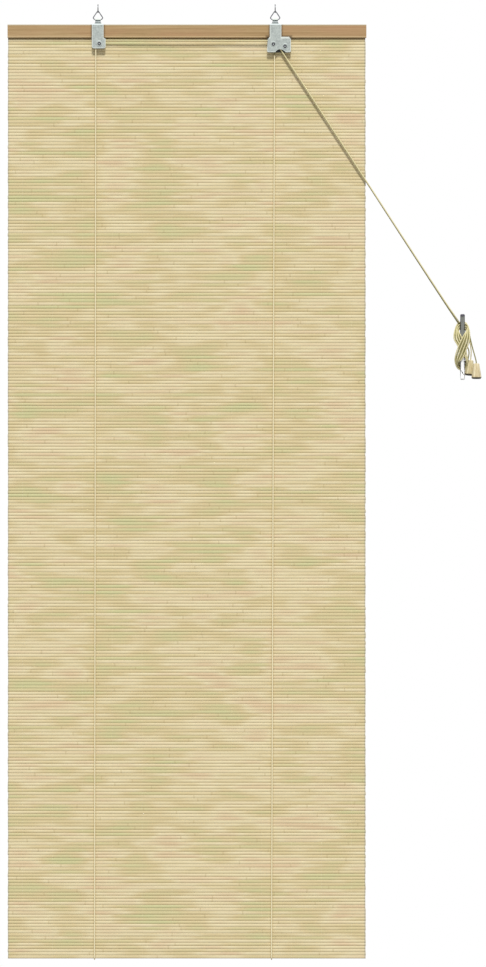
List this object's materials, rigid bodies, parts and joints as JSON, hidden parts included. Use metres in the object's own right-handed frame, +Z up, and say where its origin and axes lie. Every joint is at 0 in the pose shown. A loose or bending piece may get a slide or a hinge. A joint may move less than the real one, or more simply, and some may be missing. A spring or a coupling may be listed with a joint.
{
  "type": "bamboo roll-up blind",
  "caption": "Split-bamboo roll-up blind hung from wire bails and hooks, with cord wheels, lift cords, a wall cleat with the wound pull cord and turned wooden tassels.",
  "frame": {"origin": "centre of the headrail's flat back face", "axes": "+X to the right along the headrail, +Z up, front of the blind towards -Y"},
  "size_m": [0.792, 0.0312, 1.5982],
  "materials": {
    "rail_wood": "clear satin",
    "nail_steel": "dull",
    "bamboo": "natural matt",
    "warp_cotton": "matt",
    "batten_wood": "plain matt",
    "galvanised": "galvanised satin",
    "pin_steel": "satin",
    "nylon": "matt",
    "zinc_wire": "zinc plated",
    "cleat_metal": "plated satin",
    "turned_wood": "clear satin",
    "cord_cotton": "matt twisted"
  },
  "bodies": {
    "headrail": {"rail_front": "rail_wood", "rail_back": "rail_wood", "rail_nails": "nail_steel", "reed_mat": "bamboo", "warp_threads": "warp_cotton", "bracket_left": "galvanised", "bracket_right": "galvanised", "pin_left": "pin_steel", "pin_right": "pin_steel", "pin_guide": "pin_steel", "cleat": "cleat_metal", "tassel_left": "turned_wood", "tassel_right": "turned_wood", "lift_cord_left_front": "cord_cotton", "lift_cord_left_back": "cord_cotton", "lift_cord_right_front": "cord_cotton", "lift_cord_right_back": "cord_cotton", "knot_left": "cord_cotton", "knot_right": "cord_cotton", "pull_cord_left": "cord_cotton", "pull_cord_right": "cord_cotton", "tail_left": "cord_cotton", "tail_right": "cord_cotton", "cord_winding": "cord_cotton"},
    "bottom": {"bottom_batten": "batten_wood", "turn_left": "cord_cotton", "turn_right": "cord_cotton"},
    "wheel_left": {"wheel_left": "nylon"},
    "wheel_right": {"wheel_right": "nylon"},
    "wheel_guide": {"wheel_guide": "nylon"},
    "bail_left": {"bail_left": "zinc_wire"},
    "hook_left": {"hook_left": "zinc_wire"},
    "bail_right": {"bail_right": "zinc_wire"},
    "hook_right": {"hook_right": "zinc_wire"}
  },
  "joints": [
    {"name": "blind_lift", "type": "slide", "parent": "headrail", "child": "bottom", "axis": [0, 0, 1], "range_m": [0, 1.45], "deforming": ["reed_mat", "warp_threads", "lift_cord_left_front", "lift_cord_right_front", "lift_cord_left_back", "lift_cord_right_back"]},
    {"name": "wheel_left_spin", "type": "hinge", "parent": "headrail", "child": "wheel_left", "pos_m": [-0.1466, -0.01055, -0.0212], "axis": [0, 1, 0], "continuous": true},
    {"name": "wheel_right_spin", "type": "hinge", "parent": "headrail", "child": "wheel_right", "pos_m": [0.1445, -0.01055, -0.0221], "axis": [0, 1, 0], "continuous": true},
    {"name": "wheel_guide_spin", "type": "hinge", "parent": "headrail", "child": "wheel_guide", "pos_m": [0.1639, -0.01055, -0.0256], "axis": [0, 1, 0], "continuous": true},
    {"name": "bail_left_swing", "type": "hinge", "parent": "headrail", "child": "bail_left", "pos_m": [-0.1488, -0.006, 0.0195], "axis": [1, 0, 0], "range_deg": [-90, 90]},
    {"name": "hook_left_swing", "type": "hinge", "parent": "bail_left", "child": "hook_left", "pos_m": [-0.1488, -0.006, 0.03282], "axis": [1, 0, 0], "range_deg": [-60, 60]},
    {"name": "bail_right_swing", "type": "hinge", "parent": "headrail", "child": "bail_right", "pos_m": [0.1475, -0.006, 0.0195], "axis": [1, 0, 0], "range_deg": [-90, 90]},
    {"name": "hook_right_swing", "type": "hinge", "parent": "bail_right", "child": "hook_right", "pos_m": [0.1475, -0.006, 0.03282], "axis": [1, 0, 0], "range_deg": [-60, 60]}
  ],
  "couplings": [
    {"joint": "wheel_left_spin", "follows": "blind_lift", "rad_per_m": 344.8},
    {"joint": "wheel_right_spin", "follows": "blind_lift", "rad_per_m": 344.8}
  ]
}
